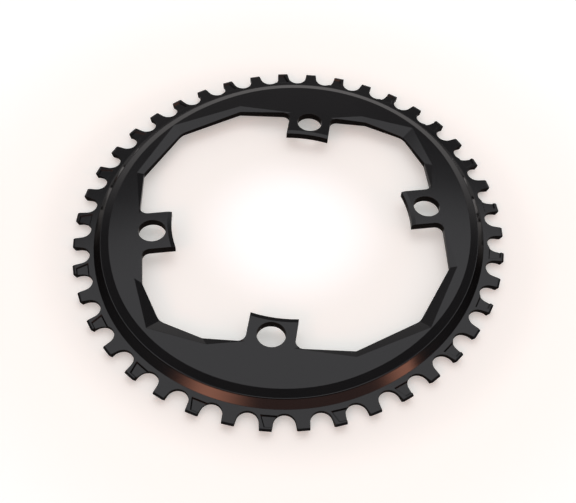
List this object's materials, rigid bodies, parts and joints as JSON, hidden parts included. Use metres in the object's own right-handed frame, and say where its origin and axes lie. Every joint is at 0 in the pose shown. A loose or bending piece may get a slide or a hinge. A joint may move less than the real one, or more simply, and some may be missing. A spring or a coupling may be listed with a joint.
{
  "type": "bicycle chainring",
  "caption": "Oval single chainring with alternating wide and narrow teeth, a raised web, bolt tabs reaching inwards and many-sided windows between them.",
  "frame": {"origin": "on the bolt circle's axis, in the plane of the back faces of the teeth, on which the ring lies", "axes": "+Z along the bolt circle's axis towards the outer, raised face; +X halves the narrower angle between two bolt holes"},
  "size_m": [0.1804, 0.17, 0.0073],
  "materials": {
    "chainring": "black anodised, satin"
  },
  "bodies": {
    "root": {"chainring": "chainring"}
  },
  "joints": []
}
